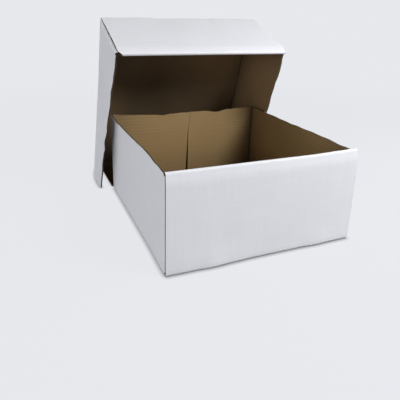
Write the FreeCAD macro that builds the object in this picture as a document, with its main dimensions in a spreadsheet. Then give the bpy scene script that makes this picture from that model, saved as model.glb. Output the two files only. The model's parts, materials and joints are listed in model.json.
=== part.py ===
import FreeCAD
import Part
import Sketcher

import math
import os
import re

# A hinged-lid cake box, folded from one blank of white-faced corrugated board.
#
# The tray stands at the front. Its front wall is rolled over: an outer panel, a rounded bend along the
# rim and an inner panel whose tab locks into a slot in the base, with the side walls' corner flaps
# trapped between the two. The side walls turn the back corners as two long flaps that meet near the
# middle and make the tray's back. The back panel runs on from the base and lies flat behind the tray.
# The lid runs on from the back panel: it stands on the panel's far edge and leans forward over the
# tray, on the slanted ends of its side walls. Its front wall is rolled over like the tray's. Its left
# side wall has sprung outwards, towards the end that stands on the floor, and is bowed.
#
# Millimetres. +X is to the right, +Y to the back, +Z up. The origin is the centre of the tray's
# underside, between its outer faces.

SIZES = {
    # the board and how it folds
    "board": 2.8,  # thickness of the corrugated board
    "crease_inside": 1.4,  # radius inside a folded corner
    "layer_gap": 0.3,  # air between the layers of a rolled-over wall
    "panel_end_gap": 1.2,  # from a rolled-over wall's inner panel to the side walls
    "roll_inset": 0.6,  # how far a rolled-over wall stops short of the corner
    "fold_gap": 0.35,  # running gap at the back panel's near end
    # the tray
    "tray_width": 310.6,
    "tray_depth": 330.0,
    "tray_height": 149.0,
    "side_drop": 1.5,  # the side walls' raw edge lies this far under the front wall's rim
    "corner_flap": 88.0,  # length of the flaps that are trapped in the rolled-over walls
    "back_flap_drop": 4.0,  # the back flaps' raw edge falls this far from corner to slit
    "slit_foot_at": 2.4,  # the slit between the back flaps lies right of the middle: at its foot,
    "slit_knee_at": 4.8,  # at the height where the flaps come together
    "slit_top_at": 10.4,  # and at their raw edges
    "slit_knee": 105.0,
    "slit_foot": 6.5,  # width of the slit at its foot
    "slit_top": 0.6,  # and where the flaps have come together
    "rim_notch_width": 1.2,  # bevel at the ends of the rolled rims
    "rim_notch_drop": 3.0,
    # the tabs that lock the rolled-over walls
    "tab_width": 70.0,
    "tab_short": 0.3,  # the tab's end stays inside the slot by this much
    # the back panel
    "panel_clear": 0.5,  # from the tray's back flaps to the panel when it is folded up
    "panel_side_gap": 0.4,  # from the panel's sides to the lid's side walls
    "panel_corner": 3.0,  # cut corners at the panel's near end
    # the lid
    "lid_side_clear": 1.8,  # from the tray's side walls to the lid's
    "lid_front_clear": 7.0,  # from the tray's front wall to the closed lid's
    "lid_top_clear": 4.0,  # over the tray's rim, under the closed lid
    "lid_skirt_gap": 13.5,  # from the floor to the closed lid's front wall
    "lid_side_short": 1.0,  # the side walls' raw edge stops short of the rolled edge
    "lid_fold_gap": 2.6,  # from the far fold's axis to the lid's top panel
    "lid_lean": 21.1,  # degrees from upright, towards the tray
    "lid_notch_width": 6.0,  # bevel at the left end of the lid's rim
    "lid_notch_drop": 10.0,
    "floor_clear": 0.5,  # under the slanted ends of the lid's side walls
    "splay_foot": 20.5,  # how far the left side wall's raw edge springs out at the floor,
    "splay_middle": 17.0,  # half way up
    "splay_top": 1.6,  # and at the front wall
    "bow_foot": 11.0,  # how far the left side wall bellies out from straight at the floor,
    "bow_middle": 9.0,  # half way up
    "bow_top": 0.9,  # and at the front wall
}

# Lengths that follow from the sheet, as expressions in its names.
CREASE = "(board + crease_inside)"  # radius outside a folded corner
ROLL = "(3 * board + 2 * layer_gap)"  # thickness of a rolled-over wall
BEND = f"({ROLL} / 2)"  # radius outside the bend along its rim
NEAR_FOLD = "(tray_depth / 2 + panel_clear + board / 2)"  # axis between base and back panel, along Y
PANEL_LENGTH = "(tray_height + lid_top_clear)"  # between the back panel's two fold axes
FAR_FOLD = f"({NEAR_FOLD} + {PANEL_LENGTH})"  # axis between back panel and lid, along Y
LID_WIDTH = "(tray_width + 2 * lid_side_clear + 2 * board)"
LID_LENGTH = f"({NEAR_FOLD} + tray_depth / 2 + lid_front_clear + {ROLL})"
LID_DEPTH = f"({PANEL_LENGTH} + board - lid_skirt_gap)"
SIDE_STUB = f"({ROLL} + layer_gap)"  # from a rolled-over wall's outer face to the plain side wall

doc = FreeCAD.newDocument("cake_box")
sheet = doc.addObject("Spreadsheet::Sheet", "dims")
for row, (alias, size) in enumerate(SIZES.items(), start=1):
    sheet.set(f"A{row}", alias)
    sheet.set(f"B{row}", str(size))
    sheet.setAlias(f"B{row}", alias)
doc.recompute()

NAMES = re.compile(r"\b(" + "|".join(SIZES) + r")\b")


def bound(expression):
    """Return an expression whose names point at the sheet's cells."""
    return NAMES.sub(r"dims.\1", expression)


def number(expression):
    """Return what an expression comes to now."""
    return float(sheet.evalExpression(bound(expression)))


def point(x, y):
    """Return a sketch point at two expressions."""
    return FreeCAD.Vector(number(x), number(y), 0)


def hold(sketch, kind, geometry, position, expression):
    """Tie one coordinate of a sketch point to the sheet, measured from the sketch's origin."""
    index = sketch.addConstraint(
        Sketcher.Constraint(kind, -1, 1, geometry, position, number(expression))
    )
    sketch.setExpression(f"Constraints[{index}]", bound(expression))


def outline(sketch, corners):
    """Draw one closed outline and hold every corner of it.

    A corner is (x, y), or (x, y, (centre x, centre y)) when the edge that arrives at it is an arc of
    less than half a turn about that centre. All of them are expressions.
    """
    edges = []
    for before, corner in zip([corners[-1], *corners[:-1]], corners):
        start = point(*before[:2])
        end = point(*corner[:2])
        if len(corner) == 2:
            edges.append((sketch.addGeometry(Part.LineSegment(start, end)), 1, 2))
            continue
        centre = point(*corner[2])
        angles = [math.atan2(end_.y - centre.y, end_.x - centre.x) for end_ in (start, end)]
        anticlockwise = (angles[1] - angles[0]) % math.tau < math.pi
        if not anticlockwise:
            angles.reverse()
        circle = Part.Circle(centre, FreeCAD.Vector(0, 0, 1), (start - centre).Length)
        arc = sketch.addGeometry(Part.ArcOfCircle(circle, *angles))
        edges.append((arc, 1, 2) if anticlockwise else (arc, 2, 1))
        level = abs(start.y - end.y) < 1e-6
        hold(sketch, "DistanceY" if level else "DistanceX", arc, 3, corner[2][1 if level else 0])
    for edge, following, corner in zip(edges, [*edges[1:], edges[0]], corners):
        sketch.addConstraint(
            Sketcher.Constraint("Coincident", edge[0], edge[2], following[0], following[1])
        )
        hold(sketch, "DistanceX", edge[0], edge[2], corner[0])
        hold(sketch, "DistanceY", edge[0], edge[2], corner[1])


def sketch_on(body, name, plane, place, outlines):
    """Draw outlines on a plane of the body's own origin, moved along that plane's axis to place."""
    sketch = body.newObject("Sketcher::SketchObject", name)
    origin = next(o for o in body.Origin.OriginFeatures if o.Role == f"{plane}_Plane")
    sketch.AttachmentSupport = (origin, [""])
    sketch.MapMode = "FlatFace"
    along = "-1" if plane == "XZ" else "1"  # the XZ plane faces -Y
    sketch.setExpression("AttachmentOffset.Base.z", bound(f"{along} * ({place})"))
    for corners in outlines:
        outline(sketch, corners)
    return sketch


def prism(body, kind, name, plane, span, *outlines):
    """Pad or pocket outlines between the two ends of a span along the plane's axis."""
    low, high = span
    sketch = sketch_on(body, f"{name}_sketch", plane, f"(({low}) + ({high})) / 2", outlines)
    feature = body.newObject(f"PartDesign::{kind}", name)
    feature.Profile = sketch
    feature.SideType = "Symmetric"
    feature.setExpression("Length", bound(f"({high}) - ({low})"))
    return feature


def rectangle(x_low, y_low, x_high, y_high):
    """Return the corners of a rectangle."""
    return [(x_low, y_low), (x_high, y_low), (x_high, y_high), (x_low, y_high)]


class RolledWall:
    """The frame of a rolled-over wall and the side walls' corners beside it.

    The body's base panel lies along XY. In from the wall's outer face runs along Y, towards +Y when
    inward is 1 and towards -Y when it is -1. Up is counted from the base panel's outer face.
    """

    def __init__(self, body, face, inward, under, width, height):
        self.body = body
        self.face = face
        self.inward = inward
        self.under = under
        self.width = width
        self.height = height

    def depth(self, distance):
        """Return the Y of a distance in from the outer face."""
        return f"({self.face} + {self.inward} * ({distance}))"

    def level(self, distance):
        """Return the Z of a distance up from the base panel's outer face."""
        return f"({self.under} + ({distance}))"

    def spot(self, depth, level):
        """Return a corner in the YZ plane."""
        return (self.depth(depth), self.level(level))

    def arc(self, depth, level, centre):
        """Return a corner in the YZ plane that an arc arrives at."""
        return (*self.spot(depth, level), self.spot(*centre))

    def span(self, near, far):
        """Return a span along Y between two distances in from the outer face, low end first."""
        ends = [self.depth(near), self.depth(far)]
        return ends if self.inward > 0 else ends[::-1]

    def across(self, inset):
        """Return a span along X that stops short of the corners by an inset."""
        half = f"({self.width} / 2 - ({inset}))"
        return f"-{half}", half

    def outer_panel(self):
        """The outer panel, with the rounded fold that joins it to the base panel."""
        shoulder = f"{self.height} - {BEND}"
        centre = (CREASE, CREASE)
        prism(self.body, "Pad", "outer_panel", "YZ", self.across("roll_inset"), [
            self.spot(CREASE, "0"),
            self.arc("0", CREASE, centre),
            self.spot("0", shoulder),
            self.spot("board", shoulder),
            self.spot("board", CREASE),
            self.arc(CREASE, "board", centre),
        ])

    def inner_panel(self):
        """The bend along the rim, full width, and the inner panel that hangs from it."""
        shoulder = f"{self.height} - {BEND}"
        centre = (BEND, shoulder)
        inside = f"{BEND} - board"
        prism(self.body, "Pad", "rim_bend", "YZ", self.across("roll_inset"), [
            self.spot("0", shoulder),
            self.arc(BEND, self.height, centre),
            self.arc(ROLL, shoulder, centre),
            self.spot(f"{ROLL} - board", shoulder),
            self.arc(BEND, f"{shoulder} + {inside}", centre),
            self.arc("board", shoulder, centre),
        ])
        panel = (f"{ROLL} - board", "board + layer_gap", ROLL, shoulder)
        prism(self.body, "Pad", "inner_panel", "YZ", self.across("board + panel_end_gap"),
              rectangle(self.depth(panel[0]), self.level(panel[1]),
                        self.depth(panel[2]), self.level(panel[3])))

    def lock(self):
        """The slot through the base panel and the inner panel's tab that stands in it."""
        slot = rectangle(self.depth(f"{ROLL} - board - layer_gap"), self.level("-board"),
                         self.depth(f"{ROLL} + layer_gap"), self.level("board + layer_gap / 2"))
        prism(self.body, "Pocket", "tab_slot", "YZ",
              ("-tab_width / 2 - layer_gap", "tab_width / 2 + layer_gap"), slot)
        tab = rectangle(self.depth(f"{ROLL} - board"), self.level("tab_short"),
                        self.depth(ROLL), self.level("board + 2 * layer_gap"))
        prism(self.body, "Pad", "tab", "YZ", ("-tab_width / 2", "tab_width / 2"), tab)

    def corner(self, side):
        """A side wall's end: a short plain stub, the rounded corner and the trapped flap."""
        face = f"({side} * {self.width} / 2)"
        inside = f"({face} - {side} * board)"
        turn = f"({face} - {side} * {CREASE})"
        tip = f"({face} - {side} * corner_flap)"
        out = "board + layer_gap"
        centre = (turn, self.depth(f"{out} + {CREASE}"))
        name = "right" if side > 0 else "left"
        prism(self.body, "Pad", f"{name}_corner_flap", "XY",
              (self.level(CREASE), self.level(f"{self.height} - {BEND} - layer_gap")), [
            (face, self.depth(SIDE_STUB)),
            (face, self.depth(f"{out} + {CREASE}")),
            (turn, self.depth(out), centre),
            (tip, self.depth(out)),
            (tip, self.depth(f"{out} + board")),
            (turn, self.depth(f"{out} + board")),
            (inside, self.depth(f"{out} + {CREASE}"), centre),
            (inside, self.depth(SIDE_STUB)),
        ])

    def bevel(self, side, notch_width, notch_drop):
        """The bevel at one end of the rolled rim."""
        end = f"{side} * ({self.width} / 2 + 1)"
        name = "right" if side > 0 else "left"
        prism(self.body, "Pocket", f"{name}_bevel", "XZ",
              self.span("-1", f"{ROLL} + layer_gap / 2"), [
            (end, self.level(f"{self.height} - {notch_drop}")),
            (f"{side} * ({self.width} / 2)", self.level(f"{self.height} - {notch_drop}")),
            (f"{side} * ({self.width} / 2 - {notch_width})", self.level(self.height)),
            (f"{side} * ({self.width} / 2 - {notch_width})", self.level(f"{self.height} + 1")),
            (end, self.level(f"{self.height} + 1")),
        ])


def make_tray():
    """The tray: base, side walls with their back and corner flaps, and the rolled-over front wall."""
    body = doc.addObject("PartDesign::Body", "tray")
    wall = RolledWall(body, "(-tray_depth / 2)", 1, "0", "tray_width", "tray_height")
    edge = "(tray_height - side_drop)"

    # Base panel, with the rounded bead of the fold that the back panel turns about.
    half_base = f"(tray_width / 2 - {CREASE})"
    bead = (NEAR_FOLD, "board / 2")
    prism(body, "Pad", "base", "YZ", (f"-{half_base}", half_base), [
        (wall.depth(CREASE), "0"),
        (NEAR_FOLD, "0"),
        (f"{NEAR_FOLD} + board / 2", "board / 2", bead),
        (NEAR_FOLD, "board", bead),
        (wall.depth(CREASE), "board"),
    ])

    # Side walls, folded up from the base on rounded creases.
    for side in (-1, 1):
        face = f"({side} * tray_width / 2)"
        inside = f"({face} - {side} * board)"
        turn = f"({face} - {side} * {CREASE})"
        name = "right" if side > 0 else "left"
        prism(body, "Pad", f"{name}_side", "XZ",
              (wall.depth(SIDE_STUB), f"tray_depth / 2 - {CREASE}"), [
            (turn, "0"),
            (face, CREASE, (turn, CREASE)),
            (face, edge),
            (inside, edge),
            (inside, CREASE),
            (turn, "board", (turn, CREASE)),
        ])
        # The wall turns the back corner and runs on as the long back flap.
        back = "(tray_depth / 2)"
        centre = (turn, f"{back} - {CREASE}")
        prism(body, "Pad", f"{name}_back_flap", "XY", (CREASE, edge), [
            (face, centre[1]),
            (turn, back, centre),
            ("slit_knee_at", back),
            ("slit_knee_at", f"{back} - board"),
            (turn, f"{back} - board"),
            (inside, centre[1], centre),
        ])
        wall.corner(side)

    # The slit where the two back flaps meet: it is open at its foot and leans at its top.
    through = ("tray_depth / 2 - board - 1", "tray_depth / 2 + 1")
    prism(body, "Pocket", "back_slit", "XZ", through, [
        ("slit_foot_at - slit_foot / 2", f"{CREASE} - 1"),
        ("slit_foot_at + slit_foot / 2", f"{CREASE} - 1"),
        ("slit_knee_at + slit_top / 2", "slit_knee"),
        ("slit_top_at + slit_top / 2", "tray_height + 1"),
        ("slit_top_at - slit_top / 2", "tray_height + 1"),
        ("slit_knee_at - slit_top / 2", "slit_knee"),
    ])
    # The back flaps' raw edges fall from the corners towards the slit.
    prism(body, "Pocket", "back_flap_edges", "XZ", through, [
        (f"-{half_base}", edge),
        ("slit_top_at", f"{edge} - back_flap_drop"),
        (half_base, edge),
        (half_base, "tray_height + 1"),
        (f"-{half_base}", "tray_height + 1"),
    ])

    wall.outer_panel()
    wall.inner_panel()
    wall.lock()
    for side in (-1, 1):
        wall.bevel(side, "rim_notch_width", "rim_notch_drop")
    return body


def make_back_panel():
    """The back panel, flat on the floor, with the rounded bead that the lid turns about."""
    body = doc.addObject("PartDesign::Body", "back_panel")
    half = f"({LID_WIDTH} / 2 - board - panel_side_gap)"
    near = f"({NEAR_FOLD} + board / 2 + fold_gap)"
    bead = (FAR_FOLD, "board / 2")
    prism(body, "Pad", "panel", "YZ", (f"-{half}", half), [
        (near, "0"),
        (FAR_FOLD, "0"),
        (f"{FAR_FOLD} + board / 2", "board / 2", bead),
        (FAR_FOLD, "board", bead),
        (near, "board"),
    ])
    prism(body, "Pocket", "cut_corners", "XY", ("-1", "board + 1"), *[
        [
            (f"{side} * ({half} - panel_corner)", near),
            (f"{side} * ({half} - panel_corner)", f"{near} - 1"),
            (f"{side} * ({half} + 1)", f"{near} - 1"),
            (f"{side} * ({half} + 1)", f"{near} + panel_corner"),
            (f"{side} * {half}", f"{near} + panel_corner"),
        ]
        for side in (-1, 1)
    ])
    return body


def bowed_section(splay, bow):
    """Return the outline of the left side wall's cross-section, in the lid's XZ plane.

    The board's middle line is an arc that starts at the crease, ends at the raw edge and passes a
    bow outside the straight line between them. The raw edge stands a splay outside the crease.
    """
    rise = f"({LID_DEPTH} - board / 2 - lid_side_short)"
    foot = f"(-{LID_WIDTH} / 2 + board / 2)"
    chord = f"sqrt({splay} ^ 2 + {rise} ^ 2)"
    radius = f"(({chord} ^ 2 / 4 + {bow} ^ 2) / (2 * {bow}))"
    reach = f"(({radius} - {bow}) / {chord})"
    centre = (f"({foot} - {splay} / 2 + {reach} * {rise})", f"({rise} / 2 + {reach} * {splay})")

    def ends(offset):
        """Return the two ends of the arc that runs an offset outside the middle line."""
        grow = f"(({radius} + {offset}) / {radius})"
        return [
            tuple(f"({c} + {grow} * (({e}) - {c}))" for c, e in zip(centre, end))
            for end in ((foot, "0"), (f"{foot} - {splay}", rise))
        ]

    outer = ends("board / 2")
    inner = ends("-board / 2")
    return [(*inner[0], centre), outer[0], (*outer[1], centre), inner[1]]


def make_lid():
    """The lid, modelled lying on its top panel: +Y from the fold to the front wall, +Z into the box."""
    body = doc.addObject("PartDesign::Body", "lid")
    wall = RolledWall(body, LID_LENGTH, -1, "(-board / 2)", LID_WIDTH, LID_DEPTH)
    face = f"({LID_WIDTH} / 2)"
    inside = f"({face} - board)"
    turn = f"({face} - {CREASE})"
    edge = f"({LID_DEPTH} - board / 2 - lid_side_short)"
    bend = (turn, f"({CREASE} - board / 2)")
    left = f"(-{LID_WIDTH} / 2 + board / 2)"

    # Top panel: a rounded crease at the left, the plain side wall folded up at the right.
    prism(body, "Pad", "top_and_right_side", "XZ", ("lid_fold_gap", wall.depth(SIDE_STUB)), [
        (left, "-board / 2"),
        (turn, "-board / 2"),
        (face, bend[1], bend),
        (face, edge),
        (inside, edge),
        (inside, bend[1]),
        (turn, "board / 2", bend),
        (left, "board / 2"),
        (f"{left} - board / 2", "0", (left, "0")),
    ])
    prism(body, "Pad", "top_front", "XZ", (wall.depth(f"{SIDE_STUB} + 1"), wall.depth(CREASE)),
          rectangle(f"-{turn}", "-board / 2", turn, "board / 2"))

    # Left side wall: sprung out and bowed, more so towards the floor.
    stations = [
        ("foot", "lid_fold_gap", "splay_foot", "bow_foot"),
        ("middle", f"{LID_LENGTH} / 2", "splay_middle", "bow_middle"),
        ("top", wall.depth(SIDE_STUB), "splay_top", "bow_top"),
    ]
    sections = [
        sketch_on(body, f"left_side_{name}", "XZ", place, [bowed_section(splay, bow)])
        for name, place, splay, bow in stations
    ]
    loft = body.newObject("PartDesign::AdditiveLoft", "left_side")
    loft.Profile = sections[0]
    loft.Sections = sections[1:]
    loft.Ruled = False

    for side in (-1, 1):
        wall.corner(side)
    wall.outer_panel()
    wall.inner_panel()
    wall.lock()
    wall.bevel(-1, "lid_notch_width", "lid_notch_drop")
    wall.bevel(1, "rim_notch_width", "rim_notch_drop")

    # The side walls' ends at the fold are cut at the lean, so that the lid stands on them.
    level = "((floor_clear - board / 2) / cos(lid_lean))"
    over = f"({LID_DEPTH} + 10)"
    reach = f"({LID_WIDTH} / 2 + splay_foot + bow_foot + 10)"
    prism(body, "Pocket", "slanted_ends", "YZ", (f"-{reach}", reach), [
        ("lid_fold_gap - 1", f"(lid_fold_gap - 1 - {level}) / tan(lid_lean)"),
        (f"{over} * tan(lid_lean) + {level}", over),
        ("lid_fold_gap - 1", over),
    ])

    body.Placement.Rotation.Axis = FreeCAD.Vector(1, 0, 0)
    body.setExpression("Placement.Rotation.Angle", bound("90 + lid_lean"))
    body.setExpression("Placement.Base.y", bound(FAR_FOLD))
    body.setExpression("Placement.Base.z", bound("board / 2"))
    return body


def main():
    """Build the three pieces, check them and write one STEP file for each."""
    pieces = [make_tray(), make_back_panel(), make_lid()]
    doc.recompute()
    for thing in doc.Objects:
        faults = {"Invalid", "Error"} & set(thing.State)
        if faults:
            raise RuntimeError(f"{thing.Name} is {', '.join(faults)}")
    os.makedirs("parts", exist_ok=True)
    for piece in pieces:
        shape = piece.Shape
        if shape.isNull() or not shape.isValid() or len(shape.Solids) != 1:
            raise RuntimeError(f"{piece.Label} is not one sound solid")
        shape.exportStep(os.path.join("parts", f"{piece.Label}.step"))
        print(piece.Label, f"{shape.Volume:.0f} mm3", shape.BoundBox)


main()
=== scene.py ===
"""An open cake box of white-faced corrugated board, folded from one blank.

The tray, the back panel and the lid are each cut flat from a sheet, scored, folded crease by crease and
given the board's thickness. Sizes are in millimetres until a piece is finished, when it goes to metres.
Each sheet is drawn by its outer, white face: flat, that face looks down and the inside looks up.
"""

import json
import logging
import math
from collections.abc import Callable, Iterable, Sequence
from dataclasses import dataclass, field
from enum import Enum, IntEnum
from typing import Any

import bmesh
import bpy
from mathutils import Matrix, Vector, noise

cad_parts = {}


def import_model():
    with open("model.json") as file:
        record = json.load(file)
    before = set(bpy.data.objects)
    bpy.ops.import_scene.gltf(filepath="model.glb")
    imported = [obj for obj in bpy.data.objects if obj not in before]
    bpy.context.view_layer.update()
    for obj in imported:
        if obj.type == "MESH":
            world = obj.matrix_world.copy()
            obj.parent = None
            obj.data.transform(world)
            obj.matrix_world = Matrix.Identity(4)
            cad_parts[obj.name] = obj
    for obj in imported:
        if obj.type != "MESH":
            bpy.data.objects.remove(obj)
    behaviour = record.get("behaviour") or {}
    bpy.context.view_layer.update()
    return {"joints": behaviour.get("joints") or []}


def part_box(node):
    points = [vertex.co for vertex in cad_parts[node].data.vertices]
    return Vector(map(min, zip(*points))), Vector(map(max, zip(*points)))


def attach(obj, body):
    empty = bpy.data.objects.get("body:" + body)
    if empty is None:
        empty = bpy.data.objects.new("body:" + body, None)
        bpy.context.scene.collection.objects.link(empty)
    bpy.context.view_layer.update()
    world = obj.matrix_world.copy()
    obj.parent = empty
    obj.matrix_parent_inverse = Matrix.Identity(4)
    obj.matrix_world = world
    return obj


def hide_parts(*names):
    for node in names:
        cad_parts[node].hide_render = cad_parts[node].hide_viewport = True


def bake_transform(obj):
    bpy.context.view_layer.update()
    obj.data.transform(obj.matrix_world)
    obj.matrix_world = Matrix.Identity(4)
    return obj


log = logging.getLogger("cake_box")

MM = 0.001
HAIR = 1e-3  # a distance too small to matter
CLOSE = 0.01  # lines nearer than this are one line
BLANK_MAP = "blank"  # UV map: place on the flat blank, in metres
DEPTH = "board_depth"  # 0 on the white liner, 1 on the brown one
CREASED = "creased"  # 1 on the bent strips, fading out beside them

Triple = tuple[float, float, float]
Colour = Triple
Profile = tuple[tuple[float, float], ...]  # places and heights, sorted by place
Rectangle = tuple[float, float, float, float]  # x low, y low, x high, y high
Test = Callable[[Vector], bool]


class Ply(IntEnum):
    """What a face of the board shows; also its material's place on the piece."""

    WHITE = 0
    BROWN = 1
    CUT = 2


class Along(IntEnum):
    """The two directions of the blank."""

    X = 0
    Y = 1


class Part(Enum):
    """The bodies of the frame that the pieces ride on."""

    TRAY = "tray"
    BACK = "back_panel"
    LID = "lid"


@dataclass(frozen=True)
class Board:
    """The corrugated board and how it folds."""

    thickness: float = 2.8
    crease_radius: float = 4.2  # outside a folded corner
    crease_fade: float = 3.0  # how far beside a bent strip its painted crease highlight and shade reach
    rim_radius: float = 4.5  # outside the bend of a rolled-over wall
    layer_gap: float = 0.3
    flute_pitch: float = 6.4
    cell: float = 6.0  # size of a sheet's faces
    bow: float = 70.0  # size of its gentle bows
    dent: float = 28.0  # and of its dents
    dent_share: float = 0.5  # how deep these are against the bows
    calm: tuple[float, float] = (1.0, 13.0)  # how far from a moving fold it starts to stray, and strays fully
    sharp: float = 40.0  # degrees between faces from which an edge stays sharp


BOARD = Board()


# ---- Materials ----


@dataclass(frozen=True)
class Grain:
    """A noise pattern: how fine it is along x and y, and how rough."""

    x: float
    y: float
    detail: float = 2.0
    roughness: float = 0.5


class NodeBench:
    """A material's node tree while it is being wired. A value is a number, a colour or a node's output."""

    def __init__(self, name: str) -> None:
        """Start a material with an empty tree and a Principled shader.

        Args:
            name: the material's name.
        """
        self.material = bpy.data.materials.new(name)
        self.material.use_nodes = True
        self.tree = self.material.node_tree
        self.tree.nodes.clear()
        output = self.add("ShaderNodeOutputMaterial")
        self.shader = self.add("ShaderNodeBsdfPrincipled")
        self.join(self.shader.outputs["BSDF"], output.inputs["Surface"])

    def add(self, kind: str, *values: Any, **settings: Any) -> bpy.types.Node:
        """Add a node.

        Args:
            kind: its type.
            values: what goes to its inputs, in their order.
            settings: its properties.

        Returns:
            The node.
        """
        node = self.tree.nodes.new(kind)
        for key, setting in settings.items():
            setattr(node, key, setting)
        for socket, value in zip([s for s in node.inputs if s.enabled], values):
            self.feed(socket, value)
        return node

    def join(self, out: Any, into: Any) -> None:
        """Link an output to an input."""
        self.tree.links.new(out, into)

    def feed(self, into: Any, value: Any) -> None:
        """Set an input to a number or colour, or link an output to it.

        Args:
            into: the input.
            value: the number, colour or output.
        """
        if isinstance(value, bpy.types.NodeSocket):
            self.join(value, into)
        else:
            into.default_value = value

    def math(self, operation: str, *values: Any) -> Any:
        """Return the result of a Math node."""
        return self.add("ShaderNodeMath", *values, operation=operation).outputs[0]

    def times(self, one: Any, other: Any) -> Any:
        """Return a product."""
        return self.math("MULTIPLY", one, other)

    def minus(self, one: Any, other: Any) -> Any:
        """Return a difference."""
        return self.math("SUBTRACT", one, other)

    def weighed(self, *layers: tuple[Any, float]) -> Any:
        """Return the sum of patterns, each times its weight.

        Args:
            layers: the patterns and their weights.

        Returns:
            The sum.
        """
        total = 0.0
        for pattern, weight in layers:
            total = self.math("MULTIPLY_ADD", pattern, weight, total)
        return total

    def varied(self, pattern: Any, middle: float, swing: float) -> Any:
        """Return a value that a pattern from 0 to 1 swings round a middle one."""
        return self.math("MULTIPLY_ADD", pattern, swing, middle - swing / 2)

    def mix(self, amount: Any, low: Any, high: Any) -> Any:
        """Return a colour between two colours."""
        node = self.add("ShaderNodeMix", amount, low, high, data_type="RGBA")
        return next(s for s in node.outputs if s.enabled)

    def span(self, value: Any, low: float, high: float) -> Any:
        """Return a value stretched so that low becomes 0 and high becomes 1, eased and clamped."""
        spread = self.add("ShaderNodeMapRange", value, low, high, 0.0, 1.0, interpolation_type="SMOOTHSTEP")
        return spread.outputs[0]

    def noise(self, place: Any, grain: Grain) -> Any:
        """Look up a noise pattern.

        Args:
            place: where.
            grain: the pattern.

        Returns:
            Its value there, from 0 to 1.
        """
        spot = self.add("ShaderNodeVectorMath", place, (grain.x, grain.y, 1.0), operation="MULTIPLY")
        found = self.add("ShaderNodeTexNoise", spot.outputs[0], 1.0, grain.detail, grain.roughness)
        return found.outputs["Fac"]

    def blank(self) -> tuple[Any, Any, Any]:
        """Find the place on the flat blank.

        Returns:
            The place in metres, and its x and y in millimetres.
        """
        place = self.add("ShaderNodeUVMap", uv_map=BLANK_MAP).outputs[0]
        x, y, _ = self.add("ShaderNodeSeparateXYZ", place).outputs
        return place, self.math("DIVIDE", x, MM), self.math("DIVIDE", y, MM)

    def value_of(self, attribute: str) -> Any:
        """Return a number that the mesh carries."""
        return self.add("ShaderNodeAttribute", attribute_name=attribute).outputs["Fac"]

    def openness(self, reach: float, depth: float) -> Any:
        """Return 1 where a surface is open within a reach, and less the more of it is closed in."""
        node = self.add("ShaderNodeAmbientOcclusion", rgba((1.0, 1.0, 1.0)), reach, samples=8)
        return self.math("POWER", node.outputs["AO"], depth)

    def wave(self, across: Any, pitch: float, shift: Any) -> Any:
        """Return a sine wave from 0 to 1 of a distance in millimetres."""
        turn = self.math("MULTIPLY_ADD", across, math.tau / pitch, shift)
        return self.math("MULTIPLY_ADD", self.math("SINE", turn), 0.5, 0.5)

    def bumps(self, *layers: tuple[Any, float]) -> None:
        """Wire heights to the shader's normal.

        Args:
            layers: the heights, each with its depth in millimetres.
        """
        normal = None
        for height, depth in layers:
            node = self.add("ShaderNodeBump", 1.0, depth * MM)
            self.join(height, node.inputs["Height"])
            if normal is not None:
                self.join(normal, node.inputs["Normal"])
            normal = node.outputs[0]
        self.join(normal, self.shader.inputs["Normal"])

    def done(self, colour: Any, roughness: Any, gloss: float) -> bpy.types.Material:
        """Finish the shader.

        Args:
            colour: its base colour.
            roughness: its roughness.
            gloss: its specular level.

        Returns:
            The material.
        """
        self.feed(self.shader.inputs["Base Color"], colour)
        self.feed(self.shader.inputs["Roughness"], roughness)
        self.shader.inputs["Specular IOR Level"].default_value = gloss
        return self.material


def rgba(colour: Sequence[float]) -> tuple[float, float, float, float]:
    """Return a colour with full opacity."""
    return (*colour, 1.0)


@dataclass(frozen=True)
class WhiteLiner:
    """The outside of the board: clay-coated white paper over the flutes."""

    name: str = "white_liner"
    bright: Colour = (0.75, 0.755, 0.793)
    dull: Colour = (0.72, 0.724, 0.762)
    # painted highlight on the bent strips
    fold: Colour = (0.90, 0.90, 0.915)
    painted_crease_share: float = 0.02
    drift: Grain = Grain(40, 9, 3)
    drift_turn: float = 2.2  # how far the flutes stray from straight
    streaks: Grain = Grain(330, 12, 3, 0.6)  # along the flutes
    across: Grain = Grain(16, 300, 3, 0.6)  # and across them
    clouds: Grain = Grain(14, 14, 4, 0.55)
    cockles: Grain = Grain(24, 7, 2, 0.4)
    fibres: Grain = Grain(1400, 1400, 3, 0.6)
    tones: Triple = (0.3, 0.36, 0.34)  # shares of clouds, streaks and across
    contrast: tuple[float, float] = (0.36, 0.64)  # the tones that are quite dull and quite bright
    flute_depth: float = 0.012
    across_depth: float = 0.03
    cockle_depth: float = 0.8
    fibre_depth: float = 0.02
    roughness: float = 0.52
    rough_swing: float = 0.16
    gloss: float = 0.35

    def material(self) -> bpy.types.Material:
        """Build the material.

        Returns:
            The material.
        """
        bench = NodeBench(self.name)
        place, x, _ = bench.blank()
        grains = (self.drift, self.streaks, self.clouds, self.fibres, self.cockles, self.across)
        drift, streaks, clouds, fibres, cockles, across = (bench.noise(place, grain) for grain in grains)
        flutes = bench.wave(x, BOARD.flute_pitch, bench.times(drift, self.drift_turn))
        tone = bench.weighed(*zip((clouds, streaks, across), self.tones))
        colour = bench.mix(bench.span(tone, *self.contrast), rgba(self.dull), rgba(self.bright))
        # Painted highlight on the creases.
        painted_crease = bench.times(bench.value_of(CREASED), self.painted_crease_share)
        colour = bench.mix(painted_crease, colour, rgba(self.fold))
        bench.bumps(
            (cockles, self.cockle_depth), (flutes, self.flute_depth), (across, self.across_depth),
            (fibres, self.fibre_depth),
        )
        return bench.done(colour, bench.varied(clouds, self.roughness, self.rough_swing), self.gloss)


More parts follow.
